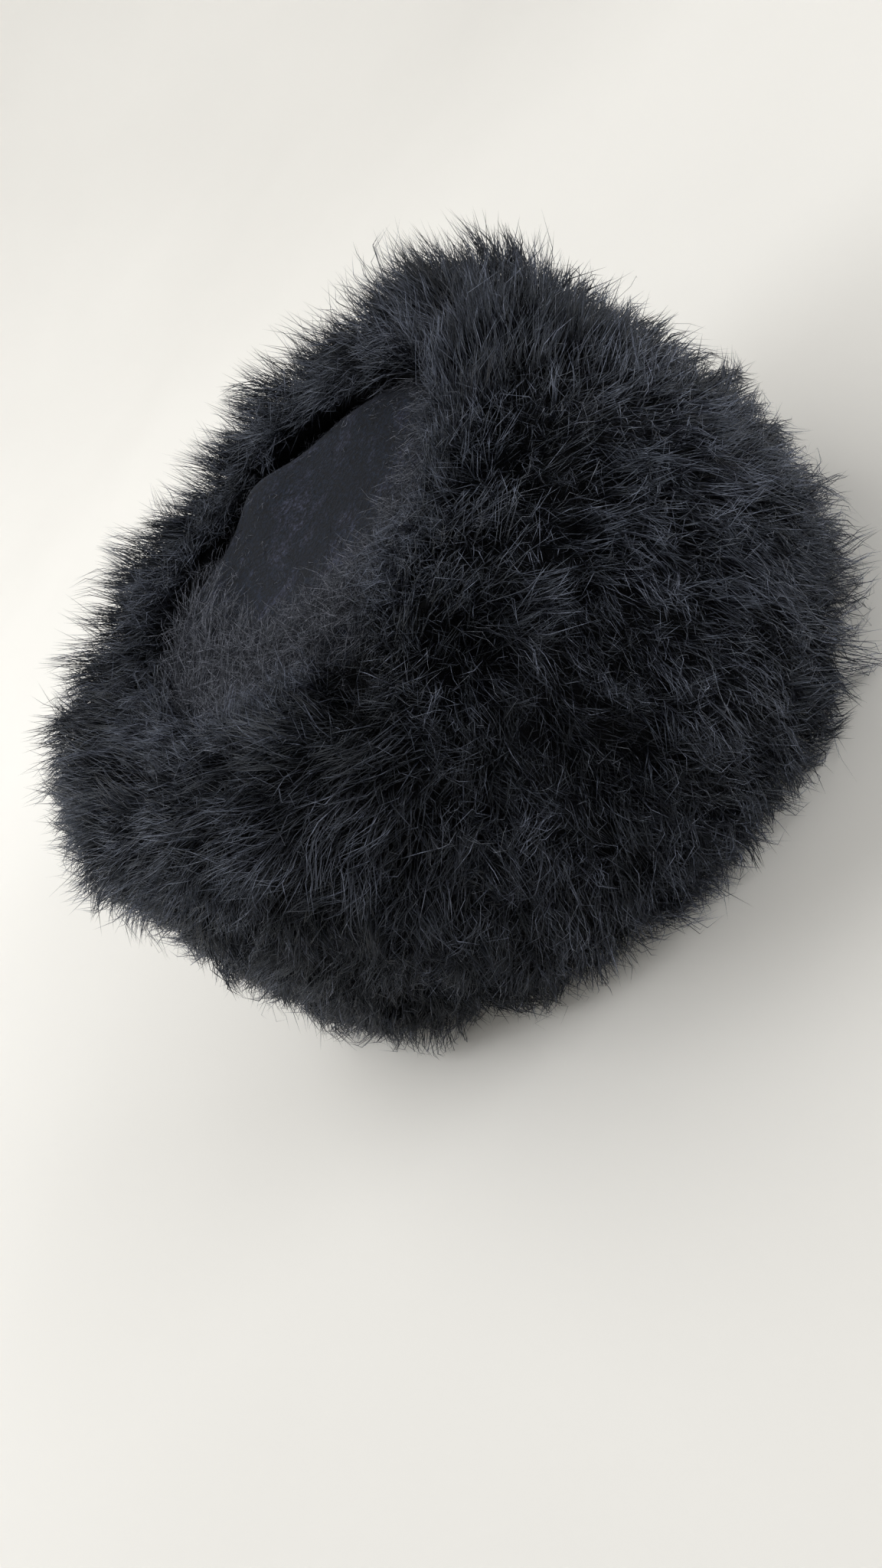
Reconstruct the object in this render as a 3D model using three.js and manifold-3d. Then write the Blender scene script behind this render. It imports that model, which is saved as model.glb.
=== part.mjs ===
// A drum-shaped sheepskin hat with a suede crown, standing on its rim.
// Sizes are millimetres, +Z is up, and the long way of the head opening runs along X.
// Azimuth is counted in degrees from +X towards +Y, and the side that was photographed faces -Y.

import * as THREE from "three";
import { mergeVertices } from "three/addons/utils/BufferGeometryUtils.js";
import Module from "manifold-3d";

const wasm = await Module();
wasm.setup();

// Driving sizes
const headLength = 194;
const headWidth = 174;
const hideWall = 3;
const bandHeight = 138;
const suedeWall = 2;
const seatGap = 0.3;
const pileDepth = 16;
const lipDepth = 5;
const lockRoot = 6;
const floorGap = 2;

// Solids that cut, or get cut, run past the face that they meet by this much
const overrun = 5;

// The oval outside of the hide, which the crown's seam follows too
const hideHalfLength = headLength / 2 + hideWall;
const hideHalfWidth = headWidth / 2 + hideWall;

// The fur's outline from the foot, over the rim, to the lip that lies on the crown.
// foot, middle, shoulder and lip say how much of each sector offset counts in that row.
const outline = [
  { height: 0, radius: 142, foot: 1.0, middle: 0.0, shoulder: 0.0, lip: 0.0 },
  { height: 16, radius: 156, foot: 0.8, middle: 0.2, shoulder: 0.0, lip: 0.0 },
  { height: 66, radius: 160, foot: 0.2, middle: 0.8, shoulder: 0.0, lip: 0.0 },
  { height: 116, radius: 155, foot: 0.0, middle: 0.7, shoulder: 0.3, lip: 0.0 },
  { height: 148, radius: 146, foot: 0.0, middle: 0.2, shoulder: 0.8, lip: 0.0 },
  { height: 164, radius: 121, foot: 0.0, middle: 0.0, shoulder: 1.0, lip: 0.0 },
  { height: 160, radius: 100, foot: 0.0, middle: 0.0, shoulder: 0.4, lip: 0.5 },
  { height: 153, radius: 84, foot: 0.0, middle: 0.0, shoulder: 0.0, lip: 1.0 },
];

// How the fur swells or flattens round the hat, in millimetres from the outline above,
// and which way its hair is combed: sweep is along the azimuth, droop is downwards.
const sectors = [
  { azimuth: 0, foot: -3, middle: -6, shoulder: -2, lip: -2, sweep: 0.8, droop: 0.6 },
  { azimuth: 30, foot: -2, middle: -6, shoulder: 5, lip: 0, sweep: 0.6, droop: 0.6 },
  { azimuth: 60, foot: 2, middle: 1, shoulder: -3, lip: 2, sweep: 0.3, droop: 0.8 },
  { azimuth: 90, foot: -1, middle: 4, shoulder: -8, lip: 0, sweep: 0.0, droop: 0.9 },
  { azimuth: 120, foot: -4, middle: 2, shoulder: 4, lip: -4, sweep: -0.3, droop: 0.8 },
  { azimuth: 150, foot: 2, middle: 0, shoulder: 13, lip: -8, sweep: -0.6, droop: 0.5 },
  { azimuth: 180, foot: 5, middle: -1, shoulder: 6, lip: -10, sweep: -0.8, droop: 0.2 },
  { azimuth: 210, foot: -3, middle: -5, shoulder: -1, lip: -8, sweep: -0.9, droop: 0.3 },
  { azimuth: 240, foot: -9, middle: -5, shoulder: 3, lip: -6, sweep: -0.7, droop: 0.5 },
  { azimuth: 270, foot: -1, middle: 3, shoulder: 4, lip: -4, sweep: 0.2, droop: 0.8 },
  { azimuth: 300, foot: 9, middle: 9, shoulder: -8, lip: -2, sweep: 0.7, droop: 0.8 },
  { azimuth: 330, foot: 6, middle: 4, shoulder: -13, lip: -2, sweep: 0.9, droop: 0.7 },
];

// Where on the outline the dense pile starts above the foot, and where it thins to the lip
const pileStart = 0.06;
const lipStart = 0.8;

// Partings, where the pile opens: the place along the outline runs from 0 at the foot
// to 1 at the lip, and width is in degrees.
const partings = [
  { azimuth: 261, width: 7, from: 0.62, to: 0.98, depth: 9 },
  { azimuth: 272, width: 6, from: 0.30, to: 0.66, depth: 7 },
  { azimuth: 2, width: 5, from: 0.52, to: 0.86, depth: 9 },
  { azimuth: 226, width: 6, from: 0.10, to: 0.40, depth: 5 },
  { azimuth: 88, width: 7, from: 0.35, to: 0.90, depth: 6 },
];

// Rows of locks along the outline. reach is how far they stand off the pile, and bend is how
// far the comb carries their tips; lift above 0 turns the tips up.
const lockRows = [
  { place: 0.10, count: 24, reach: 21, bend: 9, lift: 0.1, halfWidth: 14 },
  { place: 0.19, count: 26, reach: 21, bend: 14, lift: 0.0, halfWidth: 14 },
  { place: 0.28, count: 25, reach: 21, bend: 16, lift: 0.0, halfWidth: 14 },
  { place: 0.37, count: 26, reach: 21, bend: 16, lift: 0.0, halfWidth: 14 },
  { place: 0.46, count: 25, reach: 21, bend: 15, lift: 0.0, halfWidth: 14 },
  { place: 0.56, count: 24, reach: 21, bend: 12, lift: 0.3, halfWidth: 13 },
  { place: 0.67, count: 24, reach: 23, bend: 9, lift: 0.8, halfWidth: 12 },
  { place: 0.79, count: 20, reach: 20, bend: 7, lift: 0.9, halfWidth: 12 },
  { place: 0.91, count: 17, reach: 13, bend: 7, lift: 0.6, halfWidth: 10 },
];

// Rises of the suede above its seam: a tent-like peak near the far edge, two shoulders
// and a shallow sag. The flank runs from crownFlank to crownSeam of the way to the edge.
const crownFill = 7;
const crownFlank = 0.7;
const crownSeam = 0.965;
const crownBumps = [
  { x: 12, y: 66, rise: 9, spreadX: 13, spreadY: 24 },
  { x: -46, y: 50, rise: 4, spreadX: 18, spreadY: 22 },
  { x: 64, y: 32, rise: 3, spreadX: 20, spreadY: 24 },
  { x: 8, y: -24, rise: -3, spreadX: 44, spreadY: 34 },
];

// How finely the round shapes are cut
const ovalSteps = 44;
const crownRings = [0.17, 0.35, 0.52, 0.66, 0.77, 0.87, crownSeam, 1];
const furSteps = 40;
const furRows = 8;

// The same numbers come out at every run
let seed = 20261;
function random(low, high) {
  seed = (seed * 1664525 + 1013904223) % 4294967296;
  return low + ((high - low) * seed) / 4294967296;
}

// Turns rows of points into one closed surface. Each row is a ring, or a single point that
// closes an end. A looped surface joins its last row to its first.
function surfaceOf(rows, looped) {
  const starts = [];
  const points = [];
  for (const row of rows) {
    starts.push(points.length);
    points.push(...row);
  }
  const steps = Math.max(...rows.map((row) => row.length));
  const corner = (row, i) => starts[row] + (i % rows[row].length);
  const faces = [];
  const last = looped ? rows.length : rows.length - 1;
  for (let row = 0; row < last; row++) {
    const next = (row + 1) % rows.length;
    for (let i = 0; i < steps; i++) {
      const [a, b] = [corner(row, i), corner(row, i + 1)];
      const [d, c] = [corner(next, i), corner(next, i + 1)];
      if (a !== b) faces.push(a, b, c);
      if (c !== d) faces.push(a, c, d);
    }
  }
  const geometry = new THREE.BufferGeometry().setFromPoints(points);
  geometry.setIndex(faces);
  return geometry;
}

function toSolid(geometry) {
  const plain = geometry.clone();
  plain.deleteAttribute("normal");
  plain.deleteAttribute("uv");
  const merged = mergeVertices(plain, 1e-4);
  return new wasm.Manifold(
    new wasm.Mesh({
      numProp: 3,
      vertProperties: merged.attributes.position.array,
      triVerts: new Uint32Array(merged.index.array),
    }),
  );
}

function toGeometry(solid) {
  const mesh = solid.getMesh();
  const geometry = new THREE.BufferGeometry();
  geometry.setAttribute("position", new THREE.BufferAttribute(mesh.vertProperties, 3));
  geometry.setIndex(new THREE.BufferAttribute(mesh.triVerts, 1));
  return geometry;
}

// A ring of points on an oval, with its height given by a number or a function of x and y
function ovalRing(halfLength, halfWidth, height) {
  const ring = [];
  for (let i = 0; i < ovalSteps; i++) {
    const turn = (i / ovalSteps) * 2 * Math.PI;
    const x = halfLength * Math.cos(turn);
    const y = halfWidth * Math.sin(turn);
    ring.push(new THREE.Vector3(x, y, typeof height === "function" ? height(x, y) : height));
  }
  return ring;
}

// The hide: an oval tube, open at both ends
function hideBand() {
  const inner = [headLength / 2, headWidth / 2];
  const outer = [hideHalfLength, hideHalfWidth];
  const rows = [
    ovalRing(...inner, 0),
    ovalRing(...outer, 0),
    ovalRing(...outer, bandHeight),
    ovalRing(...inner, bandHeight),
  ];
  return surfaceOf(rows, true);
}

// Height of the suede's upper face: flat on its seam, then filled out, with peak and sag
const seamHeight = bandHeight + seatGap + suedeWall;
function crownHeight(x, y) {
  const out = Math.hypot(x / hideHalfLength, y / hideHalfWidth);
  const inside = 1 - THREE.MathUtils.smoothstep(out, crownFlank, crownSeam);
  let rise = crownFill;
  for (const bump of crownBumps) {
    const dx = (x - bump.x) / bump.spreadX;
    const dy = (y - bump.y) / bump.spreadY;
    rise += bump.rise * Math.exp(-0.5 * (dx * dx + dy * dy));
  }
  return seamHeight + inside * rise;
}

// One face of the crown, from its middle point out to its edge
function crownFace(height, spare) {
  const rows = [[new THREE.Vector3(0, 0, height(0, 0))]];
  for (const out of crownRings) {
    const edge = out === 1 ? spare : 0;
    rows.push(ovalRing(hideHalfLength * out + edge, hideHalfWidth * out + edge, height));
  }
  return rows;
}

function crown() {
  const top = crownFace(crownHeight, 0);
  const under = crownFace((x, y) => crownHeight(x, y) - suedeWall, 0);
  return surfaceOf([...under, ...top.reverse()], false);
}

// Everything that the fur must leave free: the hide, the crown and the hollow below it
function clearance() {
  const top = crownFace((x, y) => crownHeight(x, y) + seatGap, seatGap);
  const foot = ovalRing(hideHalfLength + seatGap, hideHalfWidth + seatGap, -overrun);
  const bottom = [new THREE.Vector3(0, 0, -overrun)];
  return toSolid(surfaceOf([bottom, foot, ...top.reverse()], false));
}

// A column of the sector table at any azimuth, smoothly between its rows
function sectorValue(azimuth, column) {
  const step = 360 / sectors.length;
  const place = (((azimuth % 360) + 360) % 360) / step;
  const low = Math.floor(place) % sectors.length;
  const high = (low + 1) % sectors.length;
  const mix = THREE.MathUtils.smoothstep(place - Math.floor(place), 0, 1);
  return THREE.MathUtils.lerp(sectors[low][column], sectors[high][column], mix);
}

// The outline at one azimuth, as a curve of radius and height
function outlineAt(azimuth) {
  const points = outline.map((row) => {
    let radius = row.radius;
    for (const column of ["foot", "middle", "shoulder", "lip"]) {
      radius += row[column] * sectorValue(azimuth, column);
    }
    return new THREE.Vector2(radius, row.height);
  });
  return new THREE.SplineCurve(points);
}

// How much deeper the pile lies here because of the partings
function partingDepth(azimuth, place) {
  let depth = 0;
  for (const { azimuth: line, width, from, to, depth: deepest } of partings) {
    const aside = (((azimuth - line + 540) % 360) - 180) / width;
    const along = (2 * place - from - to) / (to - from);
    depth += deepest * Math.exp(-(aside ** 2)) * Math.exp(-(along ** 4) / 2);
  }
  return depth;
}

// A point sunk below the outline, with the way out of the fur there
function pilePoint(azimuth, place, sunk) {
  const curve = outlineAt(azimuth);
  const at = curve.getPoint(place);
  const along = curve.getTangent(place);
  const turn = THREE.MathUtils.degToRad(azimuth);
  const radial = new THREE.Vector3(Math.cos(turn), Math.sin(turn), 0);
  const outward = radial.clone().multiplyScalar(along.y);
  outward.z = -along.x;
  const down = radial.clone().multiplyScalar(-along.x);
  down.z = -along.y;
  const point = radial.clone().multiplyScalar(at.x);
  point.z = at.y;
  point.addScaledVector(outward, -sunk);
  return { point, outward, down };
}

// How deep the pile lies under the outline: thin at the lip, deeper in a parting
function pileAt(azimuth, place) {
  const lip = THREE.MathUtils.smoothstep(place, lipStart, 1);
  return THREE.MathUtils.lerp(pileDepth, lipDepth, lip) + partingDepth(azimuth, place);
}

// The dense fur under the locks, as a ring with its lip over the crown. Its inner wall
// stands inside the hide, where the clearance cuts it back.
const coreRadius = 78;
const coreHeight = 110;
function pile() {
  const rows = [];
  for (let step = 0; step < furSteps; step++) {
    const azimuth = (step / furSteps) * 360;
    const turn = THREE.MathUtils.degToRad(azimuth);
    const at = (radius, height) => {
      return new THREE.Vector3(radius * Math.cos(turn), radius * Math.sin(turn), height);
    };
    const foot = outline[0].radius + sectorValue(azimuth, "foot") - pileDepth;
    const row = [at(coreRadius, coreHeight), at(coreRadius, -overrun), at(foot, -overrun)];
    for (let i = 0; i < furRows; i++) {
      const place = THREE.MathUtils.lerp(pileStart, 1, i / (furRows - 1));
      const { point } = pilePoint(azimuth, place, pileAt(azimuth, place));
      row.push(point);
    }
    rows.unshift(row);
  }
  return toSolid(surfaceOf(rows, true));
}

// One tapering lock of hair, three-sided, curving over towards the comb
function lock(root, outward, comb, reach, bend, halfWidth) {
  const stations = [
    { along: 0, size: 1 },
    { along: 0.55, size: 0.84 },
    { along: 0.84, size: 0.42 },
  ];
  const wide = new THREE.Vector3().crossVectors(outward, comb).normalize();
  const centreAt = (along) => {
    const centre = root.clone().addScaledVector(outward, reach * along);
    centre.addScaledVector(comb, bend * along * along);
    centre.z = Math.max(centre.z, floorGap);
    return centre;
  };
  const rings = stations.map(({ along, size }) => {
    const way = outward.clone().multiplyScalar(reach).addScaledVector(comb, 2 * bend * along);
    const thin = new THREE.Vector3().crossVectors(wide, way).normalize();
    return [[-1, -0.3], [0, 0.6], [1, -0.3]].map(([side, face]) => {
      const corner = centreAt(along).addScaledVector(wide, side * size * halfWidth);
      return corner.addScaledVector(thin, face * size * halfWidth);
    });
  });
  return surfaceOf([[root], ...rings, [centreAt(1)]], false);
}

// Every lock of the fur, row by row, each one turned by the comb of its sector
function locks() {
  const solids = [];
  for (const row of lockRows) {
    const start = random(0, 360);
    for (let i = 0; i < row.count; i++) {
      const azimuth = start + ((i + random(-0.25, 0.25)) / row.count) * 360;
      const place = row.place + random(-0.022, 0.022);
      const deep = pileAt(azimuth, place) + lockRoot;
      const { point, outward, down } = pilePoint(azimuth, place, deep);
      const turn = THREE.MathUtils.degToRad(azimuth);
      const aside = new THREE.Vector3(-Math.sin(turn), Math.cos(turn), 0);
      const comb = aside.multiplyScalar(sectorValue(azimuth, "sweep") + random(-0.35, 0.35));
      comb.addScaledVector(down, sectorValue(azimuth, "droop") + random(-0.2, 0.2));
      comb.z += row.lift;
      comb.addScaledVector(outward, -comb.dot(outward)).normalize();
      const reach = row.reach * random(0.82, 1.12);
      const bend = row.bend * random(0.7, 1.3);
      const halfWidth = row.halfWidth * random(0.8, 1.15);
      solids.push(toSolid(lock(point, outward, comb, reach, bend, halfWidth)));
    }
  }
  return solids;
}

const floorSize = 500;

// The fur without what its neighbours need. Only its outer skin is kept, which fills the
// few pockets that locks close off between them.
function furBand() {
  const floor = new THREE.BoxGeometry(floorSize, floorSize, floorSize);
  floor.translate(0, 0, -floorSize / 2);
  let fur = pile();
  for (const solid of locks()) {
    fur = fur.add(solid);
  }
  const skins = fur.subtract(clearance()).subtract(toSolid(floor)).decompose();
  skins.sort((one, other) => other.volume() - one.volume());
  return toGeometry(skins[0]);
}

function piece(name, geometry, color, roughness) {
  geometry.computeVertexNormals();
  const material = new THREE.MeshStandardMaterial({ color, roughness, metalness: 0 });
  const mesh = new THREE.Mesh(geometry, material);
  mesh.name = name;
  return mesh;
}

// The hat stands centred on the middle of its own box
const hat = new THREE.Group();
hat.add(piece("hide_band", hideBand(), 0x2b2a2c, 0.85));
hat.add(piece("crown", crown(), 0x2b2d34, 0.9));
hat.add(piece("fur_band", furBand(), 0x202227, 0.95));
const middle = new THREE.Box3().setFromObject(hat).getCenter(new THREE.Vector3());
hat.position.set(-middle.x, -middle.y, 0);

const part = new THREE.Group();
part.add(hat);

export default part;
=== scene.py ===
import math

import bpy
import numpy as np
from mathutils import Matrix, Vector, kdtree


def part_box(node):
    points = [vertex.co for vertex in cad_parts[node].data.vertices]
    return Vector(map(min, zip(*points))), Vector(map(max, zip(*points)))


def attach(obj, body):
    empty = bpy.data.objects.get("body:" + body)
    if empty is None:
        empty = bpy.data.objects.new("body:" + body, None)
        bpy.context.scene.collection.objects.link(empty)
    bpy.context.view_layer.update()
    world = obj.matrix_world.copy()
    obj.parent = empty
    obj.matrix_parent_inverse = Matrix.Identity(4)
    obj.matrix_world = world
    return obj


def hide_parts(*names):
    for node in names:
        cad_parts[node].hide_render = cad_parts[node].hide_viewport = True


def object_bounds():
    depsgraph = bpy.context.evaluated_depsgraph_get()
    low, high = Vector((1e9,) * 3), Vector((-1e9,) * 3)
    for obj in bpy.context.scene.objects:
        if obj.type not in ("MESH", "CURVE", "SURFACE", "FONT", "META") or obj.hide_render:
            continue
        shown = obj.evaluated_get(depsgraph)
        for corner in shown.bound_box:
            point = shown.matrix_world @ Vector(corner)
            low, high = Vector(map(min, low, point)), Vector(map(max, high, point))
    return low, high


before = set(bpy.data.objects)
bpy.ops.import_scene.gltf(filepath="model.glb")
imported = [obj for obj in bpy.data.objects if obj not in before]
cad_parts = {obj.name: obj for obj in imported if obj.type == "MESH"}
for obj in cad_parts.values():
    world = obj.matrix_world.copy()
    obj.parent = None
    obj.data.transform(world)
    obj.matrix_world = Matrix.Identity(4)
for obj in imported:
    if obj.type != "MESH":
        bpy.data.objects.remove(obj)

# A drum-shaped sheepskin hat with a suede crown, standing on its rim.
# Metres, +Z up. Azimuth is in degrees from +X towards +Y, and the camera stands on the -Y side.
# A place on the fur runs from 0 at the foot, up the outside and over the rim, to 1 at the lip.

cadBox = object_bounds()
hideLow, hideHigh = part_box("hide_band")
hatAxis = np.array([(hideLow.x + hideHigh.x) / 2, (hideLow.y + hideHigh.y) / 2, 0.0])
mm = 0.001
draftShare = 1.0


# Close to the hat and above it, rolled to one side
cameraSettings = {
    "aimHeight": 0.0826,
    "distance": 0.5008,
    "elevation": 29.0,
    "roll": -52.86,
    "yaw": 1.4,
    "pitch": -6.80,
    "lens": 27.05,
    "sensor": 36.0,
}


def swing(first, second, angle):
    return (
        first * math.cos(angle) + second * math.sin(angle),
        second * math.cos(angle) - first * math.sin(angle),
    )


def makeCamera(s):
    names = ("elevation", "roll", "yaw", "pitch")
    elevation, roll, yaw, pitch = (math.radians(s[name]) for name in names)
    back = Vector((0, -math.cos(elevation), math.sin(elevation)))
    place = Vector(hatAxis) + Vector((0, 0, s["aimHeight"])) + back * s["distance"]
    forward, right = -back, Vector((1, 0, 0))
    up = right.cross(forward)
    right, up = swing(right, up, roll)
    forward, right = swing(forward, right, yaw)
    forward, up = swing(forward, up, pitch)
    data = bpy.data.cameras.new("camera")
    data.lens = s["lens"]
    data.sensor_width = s["sensor"]
    camera = bpy.data.objects.new("camera", data)
    turn = Matrix((right, up, -forward)).transposed()
    camera.matrix_world = Matrix.Translation(place) @ turn.to_4x4()
    bpy.context.scene.collection.objects.link(camera)
    bpy.context.scene.camera = camera


makeCamera(cameraSettings)
print("camera placed")


def newMaterial(name):
    material = bpy.data.materials.new(name)
    material.use_nodes = True
    nodes, links = material.node_tree.nodes, material.node_tree.links
    shader = next(n for n in nodes if n.type == "BSDF_PRINCIPLED")
    return material, nodes, links, shader


def addNode(nodes, kind, **values):
    node = nodes.new(kind)
    for name, value in values.items():
        if hasattr(node, name):
            setattr(node, name, value)
        else:
            node.inputs[name.replace("_", " ")].default_value = value
    return node


def addTexture(nodes, links, coords, kind, **values):
    node = addNode(nodes, kind, **values)
    links.new(coords, node.inputs["Vector"])
    return node


def objectCoords(nodes):
    return nodes.new("ShaderNodeTexCoord").outputs["Object"]


def ramp(nodes, links, source, stops):
    node = nodes.new("ShaderNodeValToRGB")
    elements = node.color_ramp.elements
    while len(elements) < len(stops):
        elements.new(0.5)
    for element, (position, color) in zip(elements, stops):
        element.position = position
        element.color = (*color, 1)
    links.new(source, node.inputs["Fac"])
    return node.outputs["Color"]


def blendColors(nodes, links, kind, first, second):
    node = nodes.new("ShaderNodeMix")
    node.data_type = "RGBA"
    node.blend_type = kind
    node.inputs[0].default_value = 1.0
    links.new(first, node.inputs[6])
    links.new(second, node.inputs[7])
    return node.outputs[2]


def spread(nodes, links, source, toLow, toHigh):
    noiseLow, noiseHigh = 0.3, 0.7
    node = nodes.new("ShaderNodeMapRange")
    for socket, value in zip(node.inputs[1:5], (noiseLow, noiseHigh, toLow, toHigh)):
        socket.default_value = value
    links.new(source, node.inputs[0])
    return node.outputs[0]


def addBump(nodes, links, shader, height, strength, distance):
    node = nodes.new("ShaderNodeBump")
    node.inputs["Strength"].default_value = strength
    node.inputs["Distance"].default_value = distance
    links.new(height, node.inputs["Height"])
    links.new(node.outputs["Normal"], shader.inputs["Normal"])


def newShape(name, addPrimitive, **values):
    bpy.ops.object.select_all(action="DESELECT")
    addPrimitive(**values)
    obj = bpy.context.object
    obj.name = name
    return obj


def applyModifier(obj, kind, **values):
    bpy.ops.object.select_all(action="DESELECT")
    obj.select_set(True)
    bpy.context.view_layer.objects.active = obj
    modifier = obj.modifiers.new(kind.lower(), kind)
    for name, value in values.items():
        setattr(modifier, name, value)
    bpy.ops.object.modifier_apply(modifier=modifier.name)


def pointsOf(obj):
    points = np.empty(len(obj.data.vertices) * 3)
    obj.data.vertices.foreach_get("co", points)
    return points.reshape(-1, 3)


def movePoints(obj, points):
    obj.data.vertices.foreach_set("co", points.ravel())
    obj.data.update()


def dress(obj, material, replaced):
    obj.data.materials.clear()
    obj.data.materials.append(material)
    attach(obj, "root")
    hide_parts(replaced)


# The same tables as in the part's own source: the fur's outline from foot to lip in
# millimetres, and how much of each sector's offsets counts there
outlineRows = np.array([
    # height, radius, foot, middle, shoulder, lip
    (0, 142, 1.0, 0.0, 0.0, 0.0),
    (16, 156, 0.8, 0.2, 0.0, 0.0),
    (66, 160, 0.2, 0.8, 0.0, 0.0),
    (116, 155, 0.0, 0.7, 0.3, 0.0),
    (148, 146, 0.0, 0.2, 0.8, 0.0),
    (164, 121, 0.0, 0.0, 1.0, 0.0),
    (160, 100, 0.0, 0.0, 0.4, 0.5),
    (153, 84, 0.0, 0.0, 0.0, 1.0),
])
sectorAngle = 30        # degrees between the rows of each table below
sectorRows = np.array([
    # foot, middle, shoulder, lip
    (-3, -6, -2, -2),
    (-2, -6, 5, 0),
    (2, 1, -3, 2),
    (-1, 4, -8, 0),
    (-4, 2, 4, -4),
    (2, 0, 13, -8),
    (5, -1, 6, -10),
    (-3, -5, -1, -8),
    (-9, -5, 3, -6),
    (-1, 3, 4, -4),
    (9, 9, -8, -2),
    (6, 4, -13, -2),
], float)
partings = [
    # azimuth, width, from, to, depth
    (260, 7, 0.70, 1.02, 12),
    (272, 6, 0.30, 0.66, 7),
    (351, 4.5, 0.46, 0.80, 13),
    (226, 6, 0.10, 0.40, 5),
    (88, 7, 0.35, 0.90, 6),
]
# How the hair is combed in each sector: along the azimuth and towards the foot at five places,
# how far it stands up on the rim, how ruffled it is, and how long it is at the foot
combPlaces = (0.15, 0.34, 0.50, 0.68, 0.88)
combRows = np.array([
    # low, side, shoulder, rim, lip, stand, ruffle, foot length
    (0.6, 0.8, 0.85, 0.5, 0.9, 0.5, 0.8, 0.6, 0.4, 0.8, 1.1, 0.9, 1.0),
    (0.5, 0.8, 0.6, 0.7, 0.65, 0.75, 0.7, 0.7, 0.5, -0.6, 1.2, 0.9, 1.0),
    (0.3, 0.9, 0.4, 0.9, 0.5, 0.85, 0.65, 0.75, 0.4, -0.8, 1.25, 1.0, 1.0),
    (0.1, 1.0, 0.2, 1.0, 0.35, 0.95, 0.5, 0.85, 0.4, -0.8, 1.25, 1.0, 1.0),
    (-0.1, 1.0, -0.2, 1.0, -0.2, 1.0, 0.1, 1.0, 0.9, -0.2, 1.1, 1.0, 1.0),
    (-0.3, 0.9, -0.5, 0.8, -0.6, 0.8, -0.5, 0.8, 0.3, 0.7, 0.6, 0.9, 1.0),
    (-0.5, 0.8, -0.75, 0.6, -0.85, 0.5, -0.8, 0.6, -0.75, 0.65, 0.4, 0.8, 1.0),
    (-0.8, 0.6, -0.8, 0.6, -0.9, 0.4, -0.9, 0.5, -0.9, 0.35, 0.3, 0.7, 0.9),
    (-0.5, 0.85, -0.95, 0.3, -0.9, 0.4, -0.95, 0.0, -0.9, -0.4, 0.3, 0.9, 0.72),
    (0.0, 1.0, -0.6, 0.8, -0.55, 0.85, -0.2, 1.0, -0.4, 0.9, 0.3, 1.2, 0.72),
    (-0.1, 1.0, -0.6, 0.75, -0.7, 0.7, -0.75, 0.6, -0.25, 0.95, 0.4, 0.9, 1.15),
    (0.6, 0.8, 0.65, 0.75, 0.7, 0.7, 0.7, 0.65, -0.5, 0.85, 0.6, 0.8, 1.05),
])
# Where the fur is lighter or darker than the rest: painted sheen and painted shade, in part the
# fur's own tone
sheenShadeAndToneSpots = [
    # azimuth, width, place, height, how much lighter
    (303, 18, 0.40, 0.16, 0.38),
    (206, 26, 0.72, 0.18, 0.34),
    (232, 20, 0.25, 0.18, -0.30),
    (264, 22, 0.24, 0.16, 0.10),
    (260, 7, 0.70, 0.13, -0.42),
    (280, 13, 0.82, 0.14, 0.30),
    (68, 50, 0.94, 0.14, 0.16),
]
flowSettings = {
    "partingPush": 1.6,                     # how far the hair beside a parting leans away from it
    "rim": 0.70,                            # the place where hair stands up most
    "rimBelow": 0.14, "rimAbove": 0.19,     # how far that reaches
}


def easeStep(value, low, high):
    share = np.clip((value - low) / (high - low), 0, 1)
    return share * share * (3 - 2 * share)


def unit(vectors, least=0.0):
    return vectors / (np.linalg.norm(vectors, axis=-1, keepdims=True) + least)


def turned(first, second, angle):
    return first * np.cos(angle)[:, None] + second * np.sin(angle)[:, None]


def angleFrom(line, azimuth):
    return np.mod(azimuth - line + 540, 360) - 180      # from -180 to 180


def aroundTable(table, azimuth):
    place = np.mod(azimuth, 360) / sectorAngle
    low = np.floor(place).astype(int) % len(table)
    share = easeStep(place - np.floor(place), 0, 1)[..., None]
    return table[low] * (1 - share) + table[(low + 1) % len(table)] * share


# Radius and height, on a smooth curve through the rows of the outline
def outlineAt(azimuth, place):
    offsets = aroundTable(sectorRows, azimuth)
    radii = outlineRows[:, 1] + offsets @ outlineRows[:, 2:].T
    heights = np.broadcast_to(outlineRows[:, 0], radii.shape)
    last = len(outlineRows) - 1
    along = np.clip(place, 0, 1) * last
    start = np.minimum(np.floor(along).astype(int), last - 1)
    t = along - start
    results = []
    for values in (radii, heights):
        p0, p1, p2, p3 = (
            np.take_along_axis(values, np.clip(start + k, 0, last)[:, None], 1)[:, 0]
            for k in (-1, 0, 1, 2)
        )
        v0, v1 = (p2 - p0) / 2, (p3 - p1) / 2
        bend = (2 * p1 - 2 * p2 + v0 + v1) * t**3 + (-3 * p1 + 3 * p2 - 2 * v0 - v1) * t**2
        results.append(bend + v0 * t + p1)
    return results


def onOutline(azimuth, place):
    step = 1e-4
    radius, height = outlineAt(azimuth, place)
    radiusUp, heightUp = outlineAt(azimuth, np.minimum(place + step, 1))
    radiusDown, heightDown = outlineAt(azimuth, np.maximum(place - step, 0))
    slope = unit(np.stack([radiusUp - radiusDown, heightUp - heightDown], -1))
    turn = np.radians(azimuth)
    radial = np.stack([np.cos(turn), np.sin(turn), 0 * turn], -1)
    aside = np.stack([-np.sin(turn), np.cos(turn), 0 * turn], -1)
    up = np.array([0, 0, 1.0])
    point = (radial * radius[:, None] + up * height[:, None]) * mm
    outward = radial * slope[:, 1:] - up * slope[:, :1]
    down = -radial * slope[:, :1] - up * slope[:, 1:]
    return point, outward, down, aside


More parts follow.
